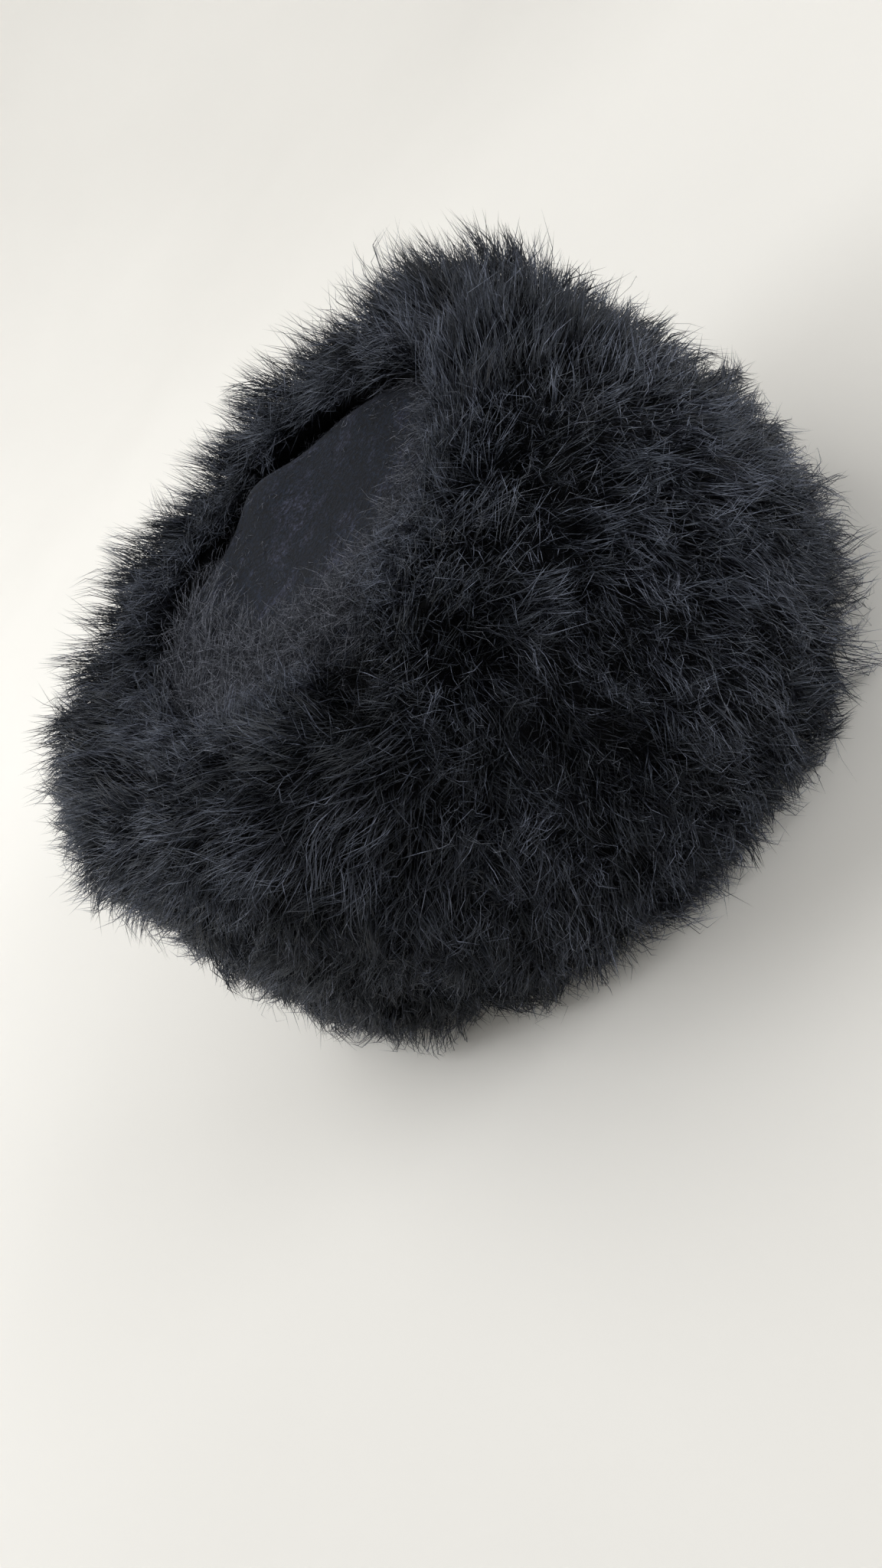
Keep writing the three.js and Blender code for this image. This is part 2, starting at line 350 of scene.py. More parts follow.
def partingAt(azimuth, place):
    depth, push = 0, 0
    for line, width, low, high, deepest in partings:
        aside = angleFrom(line, azimuth) / width
        along = (2 * place - low - high) / (high - low)
        here = np.exp(-(aside**2)) * np.exp(-(along**4) / 2)
        depth = depth + deepest * here
        push = push + flowSettings["partingPush"] * aside * here
    return depth, push


# Painted sheen and painted shade, in part the fur's own tone, in wide spots on the fur
def sheenShadeAndToneSpotsAt(azimuth, place):
    change = 0
    for spot, width, height, spotHeight, amount in sheenShadeAndToneSpots:
        aside = angleFrom(spot, azimuth) / width
        change = change + amount * np.exp(-(aside**2) - ((place - height) / spotHeight) ** 2)
    return change


def combAt(azimuth, place):
    s = flowSettings
    rows = aroundTable(combRows, azimuth)
    steps = len(combPlaces)
    shares = np.stack([np.interp(place, combPlaces, step) for step in np.eye(steps)], -1)
    sweep = (rows[:, 0 : 2 * steps : 2] * shares).sum(-1)
    droop = (rows[:, 1 : 2 * steps : 2] * shares).sum(-1)
    tall, ruffle, footLength = rows[:, 2 * steps :].T
    reach = np.where(place < s["rim"], s["rimBelow"], s["rimAbove"])
    stand = tall * np.exp(-(((place - s["rim"]) / reach) ** 2))
    return sweep, droop, tall, stand, ruffle, footLength


# Hairs are drawn together in wide tufts, in smaller clumps and in fine wisps.
# Lengths are in millimetres, turns in radians and leans in degrees.
hairSettings = {
    "lowest": 0.03, "samples": 400,
    "lipDense": (0.80, 0.94), "lipExtra": 1.1,      # the lip is grown denser
    "rootDepth": 14,            # below the outline
    "rise": 17,                 # how far the tips stand above the roots
    "lay": 16,                  # length of the combed over end
    "standRise": 0.66, "standLay": 0.5,             # how much longer the standing hair is
    "tuftGap": 26, "tuftPull": 0.36, "tuftTurn": 0.34, "tuftRise": 0.25, "tuftEdge": 0.36,
    "clumpGap": 11.5, "clumpPull": 0.58, "clumpTurn": 0.36, "clumpRise": 0.20, "clumpEdge": 0.28,
    "wispGap": 3.2, "wispPull": 0.27, "wispTurn": 0.25,
    "strandTurn": 0.3, "strandRise": 0.08,
    "scaleRange": (0.55, 1.4), "layRange": (0.7, 1.2),
    "partingShort": 0.03,       # how much shorter the hair is for each millimetre of a parting
    "lipStart": 0.80,
    "lipRuffle": 0.8, "lipShallow": 0.62, "lipShort": 0.55, "lipTall": 0.6, "lipEven": 0.6,
    "footTop": 0.3, "footFull": 0.02,               # places between which the foot's length fades
    "lean": 13, "standLean": 44, "clumpLean": 7, "strandLean": 6, "leanRange": (2, 80),
    "leastClimb": 0.15, "bendShare": 0.34,
    "swirl": (0.5, 0.4, 0.3),   # how far a clump's, a wisp's and a hair's end turns aside
    "curl": 2.0, "curlTurns": 1.3,
    "looseShare": 0.24, "looseness": 0.8,           # hairs that leave their clump
    "holdPower": 1.4,
    "frizz": 1.3, "frizzPower": 1.5,
    "proudStart": 4, "proudRoom": (14, 14, 10),     # how far outside the solids' box tips may reach
    "floorGap": 0.5,
    "lightShare": 0.08,         # hairs that are much lighter than the rest
}
# How light a hair is, from 0 to 1, and what changes that
toneSettings = {
    "middle": 0.54,
    "tuft": 0.13, "clump": 0.13, "wisp": 0.12, "strand": 0.11,
    "lip": 0.2, "paintedLightLipSide": (-0.4, 0.3),             # painted light: the lip is lighter on the camera's side
    # painted shade: hairs at the edges of clumps and tufts, in partings and near the foot are
    # darker; standing hair is darker too
    "clumpEdge": 0.20, "tuftEdge": 0.22,
    "parting": 0.05, "stand": 0.16, "foot": 0.06,
    "range": (0.02, 0.78),
    "light": 0.82, "lightSpread": 0.05,
    "limits": (0.02, 0.98),
}
furArea = 0.19                      # square metres
leastGroups, leastHairs = 8, 3      # how few groups there may be, and hairs in a group
edgeReach, edgeMost = 0.62, 1.2
hairUv = "OFBake"


def sampleRoots(rng, count, s):
    places = np.linspace(s["lowest"], 1.0, s["samples"])
    radius, height = outlineAt(np.zeros(s["samples"]), places)
    length = np.hypot(np.gradient(radius), np.gradient(height)) * radius
    total = np.cumsum(length * (1 + s["lipExtra"] * easeStep(places, *s["lipDense"])))
    place = np.interp(rng.random(count) * total[-1], total, places)
    return rng.random(count) * 360, place


def nearestOf(points, centres):
    tree = kdtree.KDTree(len(centres))
    for i, centre in enumerate(centres):
        tree.insert(centre, i)
    tree.balance()
    return np.array([tree.find(p)[1] for p in points])


def centresFor(rng, points, gap):
    count = min(len(points) // leastHairs, int(furArea / (gap * mm) ** 2))
    return rng.choice(len(points), max(leastGroups, count), replace=False)


# How near a hair stands to the edge of its group
def edgeOf(points, centres, group, gap):
    away = np.linalg.norm(points - points[centres[group]], axis=-1) / (edgeReach * gap * mm)
    return np.clip(away, 0, edgeMost) ** 2


def bezierLines(root, bend, tip, stations):
    t = np.array(stations)[None, :, None]
    return root[:, None] * (1 - t) ** 2 + bend[:, None] * 2 * t * (1 - t) + tip[:, None] * t**2


# The tips stay near the solids' box and off the floor
def keepInRoom(lines, s):
    room = np.array(s["proudRoom"]) * mm
    over = np.maximum(lines - (np.array(cadBox[1]) + s["proudStart"] * mm), 0) / room
    under = np.maximum((np.array(cadBox[0]) - s["proudStart"] * mm) - lines, 0) / room
    lines += ((np.tanh(over) - over) - (np.tanh(under) - under)) * room
    lines[..., 2] = np.maximum(lines[..., 2], s["floorGap"] * mm)


def growLines(rng, count, s):
    azimuth, place = sampleRoots(rng, count, s)
    depth, push = partingAt(azimuth, place)
    point, outward, down, aside = onOutline(azimuth, place)
    sweep, droop, tall, stand, ruffle, footLength = combAt(azimuth, place)
    lip = easeStep(place, s["lipStart"], 1)
    foot = easeStep(-place, -s["footTop"], -s["footFull"])
    ruffle = ruffle * (1 + s["lipRuffle"] * lip)
    rootDepth = (s["rootDepth"] * (1 - s["lipShallow"] * lip) + depth) * mm
    root = point - outward * rootDepth[:, None]

    names = ("tuft", "clump", "wisp")
    centres = [centresFor(rng, root, s[name + "Gap"]) for name in names]
    groups = [nearestOf(root, root[chosen]) for chosen in centres]
    tuftRandom, clumpRandom, wispRandom = (
        rng.normal(size=(len(chosen), 4))[group] for chosen, group in zip(centres, groups)
    )
    own = rng.normal(size=(count, 4))
    tuftEdge = edgeOf(root, centres[0], groups[0], s["tuftGap"])
    clumpEdge = edgeOf(root, centres[1], groups[1], s["clumpGap"])

    turn = s["tuftTurn"] * tuftRandom[:, :2] + s["clumpTurn"] * clumpRandom[:, :2]
    turn = turn + s["wispTurn"] * wispRandom[:, :2] + s["strandTurn"] * own[:, :2]
    turn = turn * ruffle[:, None]
    comb = aside * (sweep + push + turn[:, 0])[:, None] + down * (droop + turn[:, 1])[:, None]
    comb = unit(comb, 1e-9)
    across = np.cross(outward, comb)

    scale = 1 + s["tuftRise"] * tuftRandom[:, 2] + s["clumpRise"] * clumpRandom[:, 2]
    scale = scale + s["strandRise"] * own[:, 2]
    scale = np.clip(scale, *s["scaleRange"]) * (1 - s["partingShort"] * depth)
    scale *= 1 - lip * (s["lipShort"] - s["lipTall"] * np.minimum(tall, 1))
    lengths = (1 + (footLength - 1) * foot) * (1 - s["clumpEdge"] * clumpEdge)
    lengths *= 1 - s["tuftEdge"] * tuftEdge * (1 - s["lipEven"] * lip)
    scale *= lengths
    rise = s["rise"] * scale * (1 + s["standRise"] * stand) * mm
    lay = s["lay"] * np.clip(scale, *s["layRange"]) * (1 + s["standLay"] * stand) * mm
    lean = s["lean"] + s["standLean"] * stand + s["clumpLean"] * clumpRandom[:, 3]
    lean = np.radians(np.clip(lean + s["strandLean"] * own[:, 3], *s["leanRange"]))
    climb = np.maximum(rise - lay * np.sin(lean), s["leastClimb"] * rise)
    clumpSwirl, wispSwirl, strandSwirl = s["swirl"]
    swirl = clumpSwirl * clumpRandom[:, 1] + wispSwirl * wispRandom[:, 3] + strandSwirl * own[:, 1]
    combEnd = turned(comb, across, swirl * ruffle)
    bend = root + outward * climb[:, None] + comb * (s["bendShare"] * lay)[:, None]
    tip = bend + turned(combEnd, outward, lean) * lay[:, None]

    lines = bezierLines(root, bend, tip, s["stations"])
    along = np.array(s["stations"])
    phase = rng.random(len(centres[2]))[groups[2]] * 2 * np.pi
    spin = rng.random(len(centres[2]))[groups[2]] * 2 * np.pi
    curl = np.sin(2 * np.pi * s["curlTurns"] * along + phase[:, None]) * along
    lines += turned(across, outward, spin)[:, None] * (curl * s["curl"] * mm)[..., None]
    loose = (rng.random(count) < s["looseShare"])[:, None, None] * s["looseness"]
    hold = (along ** s["holdPower"])[None, :, None] * (1 - loose)
    for name, chosen, group in zip(names, centres, groups):
        lines += (lines[chosen[group]] - lines) * hold * s[name + "Pull"]
    frizz = rng.normal(size=lines.shape) * s["frizz"] * mm * ruffle[:, None, None]
    lines += frizz * (along ** s["frizzPower"])[None, :, None] * (1 + loose)
    lines += hatAxis
    keepInRoom(lines, s)

    tones = toneSettings
    # Painted light: the lip's hair is made lighter on the camera's side
    near = easeStep(-np.sin(np.radians(azimuth)), *tones["paintedLightLipSide"])
    tone = tones["middle"] + tones["tuft"] * tuftRandom[:, 3] + tones["clump"] * clumpRandom[:, 3]
    tone = tone + tones["wisp"] * wispRandom[:, 2] + tones["strand"] * own[:, 3]
    # Painted shade at the edges of clumps and tufts and in partings
    tone += (
        tones["lip"] * lip * near
        - (tones["clumpEdge"] * clumpEdge + tones["tuftEdge"] * tuftEdge) * (1 - lip)
        - tones["parting"] * depth
    )
    # Spots of painted sheen and shade, in part the fur's own tone; painted shade near the foot;
    # standing hair is darker
    tone += sheenShadeAndToneSpotsAt(azimuth, place) - tones["stand"] * stand - tones["foot"] * foot
    light = rng.random(count) < s["lightShare"]
    lightTone = tones["light"] + tones["lightSpread"] * own[:, 2]
    tone = np.where(light, lightTone, np.clip(tone, *tones["range"]))
    return lines, np.clip(tone, *tones["limits"])


# The triangles of one closed three-sided spindle: a root point, rings of three and a tip.
# Each comes with its corners' sides across the hair and rows along it, for the UV map.
def spindleFaces(rings):
    faces, sides, rows = [], [], []
    last = 1 + 3 * rings
    for corner in range(3):
        after = (corner + 1) % 3
        faces.append((0, 1 + after, 1 + corner))
        sides.append((0, 1, 0))
        rows.append((0, 1, 1))
        for ring in range(rings - 1):
            a, b = 1 + 3 * ring + corner, 1 + 3 * ring + after
            faces += [(a, b, b + 3), (a, b + 3, a + 3)]
            sides += [(0, 1, 1), (0, 1, 0)]
            rows += [(ring + 1, ring + 1, ring + 2), (ring + 1, ring + 2, ring + 2)]
        faces.append((last - 3 + corner, last - 3 + after, last))
        sides.append((0, 1, 0))
        rows.append((rings, rings, rings + 1))
    return np.array(faces), np.array(sides), np.array(rows)


def spindlePoints(lines, halfWidths):
    way = unit(lines[:, 2:] - lines[:, :-2], 1e-12)
    upright = np.abs(way[..., 2:]) > 0.9
    helper = np.where(upright, np.array([1.0, 0, 0]), np.array([0, 0, 1.0]))
    side = unit(np.cross(way, helper), 1e-12)
    lift = np.cross(side, way)
    points = np.empty((len(lines), 2 + 3 * len(halfWidths), 3))
    points[:, 0] = lines[:, 0]
    points[:, -1] = lines[:, -1]
    for ring, halfWidth in enumerate(halfWidths):
        for corner in range(3):
            turn = math.radians(90 + 120 * corner)
            reach = side[:, ring] * math.cos(turn) + lift[:, ring] * math.sin(turn)
            points[:, 1 + 3 * ring + corner] = lines[:, ring + 1] + reach * halfWidth * mm
    return points


# The hair's tone is its place across the UV map, and the map's height runs from root to tip
def hairMesh(name, lines, tone, s, material):
    points = spindlePoints(lines, s["halfWidths"])
    faces, sides, rows = spindleFaces(len(s["halfWidths"]))
    count = len(lines)
    corners = (np.arange(count)[:, None, None] * points.shape[1] + faces[None]).reshape(-1)
    uvWidth, uvMargin = 0.012, 0.01
    uvs = np.empty((count, len(faces), 3, 2))
    uvs[..., 0] = tone[:, None, None] * (1 - uvWidth) + sides[None] * uvWidth
    uvs[..., 1] = np.array(s["stations"])[rows][None] * (1 - 2 * uvMargin) + uvMargin
    mesh = bpy.data.meshes.new(name)
    mesh.vertices.add(points.shape[0] * points.shape[1])
    mesh.vertices.foreach_set("co", points.astype(np.float32).ravel())
    mesh.loops.add(len(corners))
    mesh.loops.foreach_set("vertex_index", corners.astype(np.int32))
    mesh.polygons.add(len(corners) // 3)
    mesh.polygons.foreach_set("loop_start", np.arange(0, len(corners), 3, dtype=np.int32))
    layer = mesh.uv_layers.new(name=hairUv)
    layer.data.foreach_set("uv", uvs.astype(np.float32).ravel())
    mesh.update(calc_edges=True)
    mesh.shade_smooth()
    obj = bpy.data.objects.new(name, mesh)
    bpy.context.scene.collection.objects.link(obj)
    dress(obj, material, "fur_band")


def hairMaterial(s):
    material, nodes, links, shader = newMaterial(s["material"])
    uv = addNode(nodes, "ShaderNodeUVMap", uv_map=hairUv).outputs["UV"]
    parts = nodes.new("ShaderNodeSeparateXYZ")
    links.new(uv, parts.inputs[0])
    # Darker towards the root: partly the hair's own colour, partly painted shade deep in the pile
    along = ramp(nodes, links, parts.outputs["Y"], [
        (0.0, s["rootColor"]), (0.55, s["middleColor"]), (1.0, s["tipColor"]),
    ])
    tones = ramp(nodes, links, parts.outputs["X"], [
        (0.0, (0.16, 0.17, 0.20)),
        (0.3, (0.42, 0.43, 0.48)),
        (0.5, (1.0, 1.0, 1.0)),
        (0.75, (2.0, 2.0, 2.0)),
        (0.95, s["lightColor"]),
    ])
    color = blendColors(nodes, links, "MULTIPLY", along, tones)
    # Painted glints: light and dark stretches along each hair stand in for the glints of its curls
    glints = addTexture(nodes, links, uv, "ShaderNodeTexNoise", Scale=11.0, Detail=2.0)
    turns = ramp(nodes, links, glints.outputs["Fac"], [
        (0.36, (0.40, 0.40, 0.42)), (0.5, (0.95, 0.95, 0.95)), (0.64, (1.8, 1.8, 1.8)),
    ])
    color = blendColors(nodes, links, "MULTIPLY", color, turns)
    links.new(color, shader.inputs["Base Color"])
    grain = addTexture(nodes, links, uv, "ShaderNodeTexNoise", Scale=90.0, Detail=3.0)
    smoothest, roughest = s["roughness"] - 0.08, s["roughness"] + 0.1
    rough = spread(nodes, links, grain.outputs["Fac"], smoothest, roughest)
    links.new(rough, shader.inputs["Roughness"])
    shader.inputs["Specular IOR Level"].default_value = s["specular"]
    shader.inputs["Specular Tint"].default_value = (0.82, 0.90, 1.0, 1)
    addBump(nodes, links, shader, grain.outputs["Fac"], 0.25, 0.1 * mm)
    return material


guardSettings = {
    **hairSettings,
    "names": ("fur_guard_hair_1", "fur_guard_hair_2", "fur_guard_hair_3"),
    "count": 13000,                     # hairs in each piece
    "stations": (0, 0.42, 0.72, 1),     # root, rings and tip along the hair
    "halfWidths": (0.17, 0.13),         # of the rings
    "material": "black_guard_hair",
    "rootColor": (0.002, 0.002, 0.003),
    "middleColor": (0.010, 0.011, 0.016),
    "tipColor": (0.074, 0.084, 0.112),
    "lightColor": (3.2, 3.1, 3.0),      # by how much the lightest hairs are lighter
    "roughness": 0.38,
    "specular": 0.42,
}
downSettings = {
    **hairSettings,
    "names": ("fur_down_1", "fur_down_2"),
    "count": 22500,
    "stations": (0, 0.58, 1),
    "halfWidths": (0.25,),
    "rise": 14.96, "lay": 14.4,
    "material": "black_down",
    "rootColor": (0.002, 0.002, 0.003),
    "middleColor": (0.007, 0.008, 0.012),
    "tipColor": (0.030, 0.035, 0.047),
    "lightColor": (2.6, 2.55, 2.5),
    "roughness": 0.46,
    "specular": 0.32,
}
straySettings = {
    **hairSettings,
    "names": ("fur_stray_hair",),
    "count": 5000,
    "stations": (0, 0.32, 0.55, 0.78, 1),
    "halfWidths": (0.075, 0.07, 0.06),
    "rootDepth": 8, "rise": 12, "lay": 12, "standRise": 0.3, "standLay": 0.2,
    "tuftPull": 0.2, "clumpPull": 0.2, "wispPull": 0.0,
    "strandTurn": 0.6, "frizz": 1.8, "curl": 2.6, "lightShare": 0.2,
    "material": "light_stray_hair",
    "rootColor": (0.014, 0.016, 0.020),
    "middleColor": (0.045, 0.050, 0.062),
    "tipColor": (0.085, 0.092, 0.110),
    "lightColor": (2.6, 2.5, 2.4),
    "roughness": 0.42,
    "specular": 0.45,
}
hairSeed = 41


def makeHair():
    rng = np.random.default_rng(hairSeed)
    for s in (guardSettings, downSettings, straySettings):
        material = hairMaterial(s)
        for name in s["names"]:
            lines, tone = growLines(rng, int(s["count"] * draftShare), s)
            hairMesh(name, lines, tone, s, material)


makeHair()
print("hair grown")


crownSettings = {
    "halfLength": 0.100,
    "halfWidth": 0.090,
    "seamHeight": 0.1403,
    "wall": 0.002,
    "fill": 7,                          # millimetres above the seam
    "flank": 0.7, "seam": 0.965,        # the panel slopes between these shares of its radius
    "gridSteps": 40,
    "bumps": [
        # x, y, rise, spreadX, spreadY in millimetres
        (12, 66, 9, 13, 24),
        (-46, 50, 4, 18, 22),
        (64, 32, 3, 20, 24),
        (8, -24, -3, 44, 34),
    ],
}


def crownHeight(x, y):
    s = crownSettings
    out = np.hypot(x / s["halfLength"], y / s["halfWidth"])
    inside = 1 - easeStep(out, s["flank"], s["seam"])
    rise = s["fill"] + 0 * x
    for bumpX, bumpY, bumpRise, spreadX, spreadY in s["bumps"]:
        away = ((x / mm - bumpX) / spreadX) ** 2 + ((y / mm - bumpY) / spreadY) ** 2
        rise = rise + bumpRise * np.exp(-0.5 * away)
    return s["seamHeight"] + inside * rise * mm


def suedeMaterial():
    material, nodes, links, shader = newMaterial("blue_black_suede")
    coords = objectCoords(nodes)
    nap = addTexture(
        nodes, links, coords, "ShaderNodeTexNoise", Scale=640.0, Detail=4.0, Roughness=0.75,
    )
    brushed = addTexture(
        nodes, links, coords, "ShaderNodeTexNoise",
        Scale=52.0, Detail=6.0, Roughness=0.7, Distortion=0.5,
    )
    broad = ramp(nodes, links, brushed.outputs["Fac"], [
        (0.38, (0.001, 0.0025, 0.006)),
        (0.50, (0.003, 0.005, 0.010)),
        (0.62, (0.015, 0.017, 0.028)),
    ])
    fine = ramp(nodes, links, nap.outputs["Fac"], [
        (0.38, (0.2, 0.2, 0.22)), (0.5, (1, 1, 1)), (0.62, (3.4, 3.4, 3.4)),
    ])
    color = blendColors(nodes, links, "MULTIPLY", broad, fine)
    lint = addTexture(nodes, links, coords, "ShaderNodeTexVoronoi", Scale=42.0)
    specks = ramp(nodes, links, lint.outputs["Distance"], [
        (0.0, (0.30, 0.30, 0.30)), (0.022, (0.2, 0.2, 0.2)), (0.034, (0, 0, 0)),
    ])
    color = blendColors(nodes, links, "ADD", color, specks)
    links.new(color, shader.inputs["Base Color"])
    rough = spread(nodes, links, brushed.outputs["Fac"], 0.82, 0.95)
    links.new(rough, shader.inputs["Roughness"])
    shader.inputs["Specular IOR Level"].default_value = 0.2
    shader.inputs["Sheen Weight"].default_value = 0.09
    shader.inputs["Sheen Roughness"].default_value = 0.4
    shader.inputs["Sheen Tint"].default_value = (0.62, 0.66, 0.8, 1)
    addBump(nodes, links, shader, nap.outputs["Fac"], 0.7, 0.6 * mm)
    return material


def makeCrown(s):
    obj = newShape(
        "suede_crown", bpy.ops.mesh.primitive_grid_add,
        x_subdivisions=s["gridSteps"], y_subdivisions=s["gridSteps"], size=2,
    )
    square = pointsOf(obj)
    x = square[:, 0] * np.sqrt(1 - square[:, 1] ** 2 / 2) * s["halfLength"]
    y = square[:, 1] * np.sqrt(1 - square[:, 0] ** 2 / 2) * s["halfWidth"]
    movePoints(obj, np.stack([x, y, crownHeight(x, y)], -1) + hatAxis)
    applyModifier(obj, "SOLIDIFY", thickness=s["wall"], offset=-1)
    applyModifier(obj, "SUBSURF", levels=1, render_levels=1)
    bpy.ops.object.shade_smooth()
    dress(obj, suedeMaterial(), "crown")


# The dense wool that the hairs stand in: a ring with its lip over the crown's edge.
# Gaps and depths are in millimetres.
undercoatSettings = {
    "aroundSteps": 150,
    "outsideSteps": 36, "lipSteps": 8, "wallSteps": 8, "footSteps": 6,
    "firstPlace": 0.05,
    "sunk": 12.5, "lipSunk": 5.5,       # below the outline
    "partingMost": 9,
    "gap": 0.5,                         # from the hide and the crown
    "overCrown": 1.5,
    "footGap": 2.0, "footInset": 3,
    "lumps": 1.3, "thirdShare": 0.6,
    "lumpWaves": ((9, 40), (17, -23), (31, 61)),    # around the hat and up it
}


def undercoatMaterial():
    material, nodes, links, shader = newMaterial("dense_undercoat")
    wool = addTexture(
        nodes, links, objectCoords(nodes), "ShaderNodeTexNoise",
        Scale=420.0, Detail=5.0, Roughness=0.65,
    )
    color = ramp(nodes, links, wool.outputs["Fac"], [
        (0.35, (0.001, 0.0012, 0.0016)), (0.7, (0.004, 0.0045, 0.006)),
    ])
    links.new(color, shader.inputs["Base Color"])
    rough = spread(nodes, links, wool.outputs["Fac"], 0.85, 1.0)
    links.new(rough, shader.inputs["Roughness"])
    shader.inputs["Specular IOR Level"].default_value = 0.1
    addBump(nodes, links, shader, wool.outputs["Fac"], 0.8, 1 * mm)
    return material


def makeUndercoat(s):
    halfLength, halfWidth = crownSettings["halfLength"], crownSettings["halfWidth"]
    aroundSteps = s["aroundSteps"]
    azimuth = np.arange(aroundSteps) / aroundSteps * 360
    turn = np.radians(azimuth)
    radial = np.stack([np.cos(turn), np.sin(turn)], -1)
    hideRadius = 1 / np.hypot(radial[:, 0] / halfLength, radial[:, 1] / halfWidth)
    wallRadius = hideRadius + s["gap"] * mm
    footHeight = s["footGap"] * mm
    rows = []

    def addRow(radius, height):
        row = np.empty((aroundSteps, 3))
        row[:, :2] = radial * radius[:, None]
        row[:, 2] = height
        rows.append(row)

    for step in range(s["outsideSteps"]):
        share = step / (s["outsideSteps"] - 1)
        place = np.full(aroundSteps, s["firstPlace"] + (1 - s["firstPlace"]) * share)
        point, outward = onOutline(azimuth, place)[:2]
        lip = easeStep(place, hairSettings["lipStart"], 1)
        parting = np.minimum(partingAt(azimuth, place)[0], s["partingMost"])
        depth = s["sunk"] + (s["lipSunk"] - s["sunk"]) * lip + parting
        first, second, third = (
            np.sin(around * turn + along * place) for around, along in s["lumpWaves"]
        )
        lumps = s["lumps"] * (first * second + s["thirdShare"] * third)
        row = point - outward * ((depth + lumps) * mm)[:, None]
        inside = np.hypot(row[:, 0] / halfLength, row[:, 1] / halfWidth) < 1
        over = crownHeight(row[:, 0], row[:, 1]) + s["overCrown"] * mm
        row[:, 2] = np.where(inside, np.maximum(row[:, 2], over), row[:, 2])
        rows.append(row)
    lipRadius = np.hypot(rows[-1][:, 0], rows[-1][:, 1])
    for step in range(1, s["lipSteps"] + 1):
        radius = lipRadius + (wallRadius - lipRadius) * step / s["lipSteps"]
        height = crownHeight(radius * radial[:, 0], radius * radial[:, 1]) + s["gap"] * mm
        addRow(radius, height)
    top = rows[-1][:, 2]
    for step in range(1, s["wallSteps"] + 1):
        addRow(wallRadius, top + (footHeight - top) * step / s["wallSteps"])
    footRadius = np.hypot(rows[0][:, 0], rows[0][:, 1])
    for step in range(1, s["footSteps"] + 1):
        share = step / (s["footSteps"] + 1)
        radius = wallRadius + (footRadius - s["footInset"] * mm - hideRadius) * share
        addRow(radius, footHeight)

    obj = newShape(
        "fur_undercoat", bpy.ops.mesh.primitive_torus_add,
        major_segments=aroundSteps, minor_segments=len(rows), major_radius=1, minor_radius=0.3,
    )
    points = np.stack(rows, 1)
    points[..., 2] = np.maximum(points[..., 2], footHeight)
    movePoints(obj, points.reshape(-1, 3) + hatAxis)
    bpy.ops.object.mode_set(mode="EDIT")
    bpy.ops.mesh.select_all(action="SELECT")
    bpy.ops.mesh.normals_make_consistent(inside=False)
    bpy.ops.object.mode_set(mode="OBJECT")
    bpy.ops.object.shade_smooth()
    dress(obj, undercoatMaterial(), "fur_band")


makeUndercoat(undercoatSettings)
print("undercoat made")


# The short fluff over the crown's edge, in millimetres, radians and degrees as for the hair.
# Places run from the middle of the crown's bare part, at 0, over its edge, at 1.
fluffSettings = {
    "count": 7500, "tries": 6,
    "seed": 7,
    "reach": 0.97,                      # how much of the crown it may stand on
    "bare": (24, 17, 62, 62),           # centre x, centre y, half length and half width
    "sparse": 0.10, "sparsePlaces": (0.3, 0.85),
    "densePlaces": (0.66, 1.3), "densePower": 1.6,
    "farPlaces": (0.2, 0.7), "farThinner": 0.9,     # thinner along the far edge
    "rootDepth": 0.3,
    "tuftGap": 9, "tuftTurn": 1.1, "strandTurn": 0.7,
    "combCentre": 20,                   # the y that the fluff is combed towards
    "swirl": 1.2, "tuftSwirl": 0.6,
    "length": (5, 19), "longPlaces": (0.75, 1.25),
    "lengthSpread": 0.3, "lengthRange": (0.4, 1.7),
    "lean": 20, "tuftLean": 14, "strandLean": 14, "leanRange": (4, 75),
    "bendRise": 0.4, "bendShare": 0.5, "endRise": 0.4, "endShare": 0.6,
    "frizz": 0.9, "tuftPull": 0.2,
    "floorGap": 0.35,
    "middleTone": 0.5, "strandTone": 0.24, "tuftTone": 0.12, "toneRange": (0.02, 0.98),
    "stations": (0, 0.36, 0.7, 1),
    "halfWidths": (0.10, 0.09),
    "material": "grey_fluff",
    "rootColor": (0.022, 0.023, 0.028),
    "middleColor": (0.060, 0.064, 0.078),
    "tipColor": (0.112, 0.118, 0.142),
    "lightColor": (2.6, 2.55, 2.5),
    "roughness": 0.5,
    "specular": 0.4,
}


